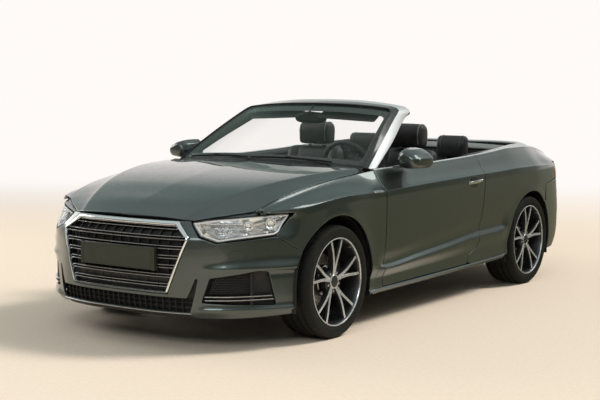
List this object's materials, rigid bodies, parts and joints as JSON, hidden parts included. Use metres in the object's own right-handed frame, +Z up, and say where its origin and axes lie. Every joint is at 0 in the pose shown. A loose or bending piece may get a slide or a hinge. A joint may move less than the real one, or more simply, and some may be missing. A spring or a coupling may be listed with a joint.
{
  "type": "convertible car",
  "caption": "Compact two-door soft-top convertible with the top folded, opening doors, hood and boot lid, steered front wheels and turning wheels.",
  "frame": {"origin": "on the ground under the middle of the car's bounding box", "axes": "+Z up, -Y towards the front of the car, +X to the car's left side"},
  "size_m": [1.9794, 4.4243, 1.3409],
  "materials": {
    "paint": "gloss metallic",
    "body_shell": "satin",
    "bright_metal": "satin",
    "chrome": "polished",
    "black_plastic": "matt",
    "lamp_glass": "clear",
    "red_lamp": "gloss",
    "window_glass": "clear",
    "top_cloth": "woven",
    "leather": "satin",
    "cabin_plastic": "grained",
    "iron": "cast",
    "steel": "brushed",
    "tyre": "matt",
    "alloy": "machined"
  },
  "bodies": {
    "body": {"floor_pan": "body_shell", "front_structure": "body_shell", "rear_structure": "body_shell", "engine_block": "iron", "front_bumper": "paint", "grille_frame": "chrome", "grille_insert": "black_plastic", "intake_grilles": "black_plastic", "headlamps": "lamp_glass", "front_fenders": "paint", "side_sills": "paint", "rear_quarters": "paint", "rear_bumper": "paint", "tail_lamps": "red_lamp", "windscreen_glass": "window_glass", "windscreen_frame": "bright_metal", "cowl": "black_plastic", "wipers": "black_plastic", "belt_trim": "bright_metal", "folded_top": "top_cloth", "front_arch_liners": "black_plastic", "rear_arch_liners": "black_plastic", "front_suspension": "iron", "rear_suspension": "iron", "exhaust": "steel", "fuel_tank": "black_plastic", "front_seat_bases": "cabin_plastic", "front_seat_cushions": "leather", "front_seat_backs": "leather", "front_headrests": "leather", "rear_seat": "leather", "dashboard": "cabin_plastic", "steering_column": "cabin_plastic", "centre_console": "cabin_plastic", "interior_mirror": "black_plastic"},
    "left_door": {"left_door": "paint", "left_door_mirror": "paint", "left_door_handle": "bright_metal"},
    "right_door": {"right_door": "paint", "right_door_mirror": "paint", "right_door_handle": "bright_metal"},
    "hood": {"hood": "paint"},
    "boot_lid": {"boot_lid": "paint"},
    "steering_wheel": {"steering_wheel": "cabin_plastic"},
    "front_left_knuckle": {"front_left_knuckle": "iron"},
    "front_right_knuckle": {"front_right_knuckle": "iron"},
    "front_left_wheel": {"front_left_tyre": "tyre", "front_left_rim": "alloy"},
    "front_right_wheel": {"front_right_tyre": "tyre", "front_right_rim": "alloy"},
    "rear_left_wheel": {"rear_left_tyre": "tyre", "rear_left_rim": "alloy"},
    "rear_right_wheel": {"rear_right_tyre": "tyre", "rear_right_rim": "alloy"}
  },
  "joints": [
    {"name": "left_door_hinge", "type": "hinge", "parent": "body", "child": "left_door", "pos_m": [0.856, -0.753, 0.6], "axis": [0, 0, -1], "range_deg": [0, 65]},
    {"name": "right_door_hinge", "type": "hinge", "parent": "body", "child": "right_door", "pos_m": [-0.856, -0.753, 0.6], "axis": [0, 0, 1], "range_deg": [0, 65]},
    {"name": "hood_hinge", "type": "hinge", "parent": "body", "child": "hood", "pos_m": [0, -0.826, 0.905], "axis": [-1, 0, 0], "range_deg": [0, 45]},
    {"name": "boot_lid_hinge", "type": "hinge", "parent": "body", "child": "boot_lid", "pos_m": [0, 1.575, 1.016], "axis": [1, 0, 0], "range_deg": [0, 75]},
    {"name": "front_left_steer", "type": "hinge", "parent": "body", "child": "front_left_knuckle", "pos_m": [0.695, -1.3315, 0.3235], "axis": [0, 0, 1], "range_deg": [-33, 33]},
    {"name": "front_right_steer", "type": "hinge", "parent": "body", "child": "front_right_knuckle", "pos_m": [-0.695, -1.3315, 0.3235], "axis": [0, 0, 1], "range_deg": [-33, 33]},
    {"name": "steering_wheel_turn", "type": "hinge", "parent": "body", "child": "steering_wheel", "pos_m": [0.38, -0.435, 0.905], "axis": [0, 0.9135, 0.4067], "range_deg": [-479, 479]},
    {"name": "front_left_spin", "type": "hinge", "parent": "front_left_knuckle", "child": "front_left_wheel", "pos_m": [0.772, -1.3315, 0.3235], "axis": [1, 0, 0], "continuous": true},
    {"name": "rear_left_spin", "type": "hinge", "parent": "body", "child": "rear_left_wheel", "pos_m": [0.762, 1.2635, 0.3235], "axis": [1, 0, 0], "continuous": true},
    {"name": "front_right_spin", "type": "hinge", "parent": "front_right_knuckle", "child": "front_right_wheel", "pos_m": [-0.772, -1.3315, 0.3235], "axis": [1, 0, 0], "continuous": true},
    {"name": "rear_right_spin", "type": "hinge", "parent": "body", "child": "rear_right_wheel", "pos_m": [-0.762, 1.2635, 0.3235], "axis": [1, 0, 0], "continuous": true}
  ],
  "couplings": [
    {"joint": "front_right_steer", "follows": "front_left_steer", "ratio": 1},
    {"joint": "steering_wheel_turn", "follows": "front_left_steer", "ratio": 14.5}
  ]
}
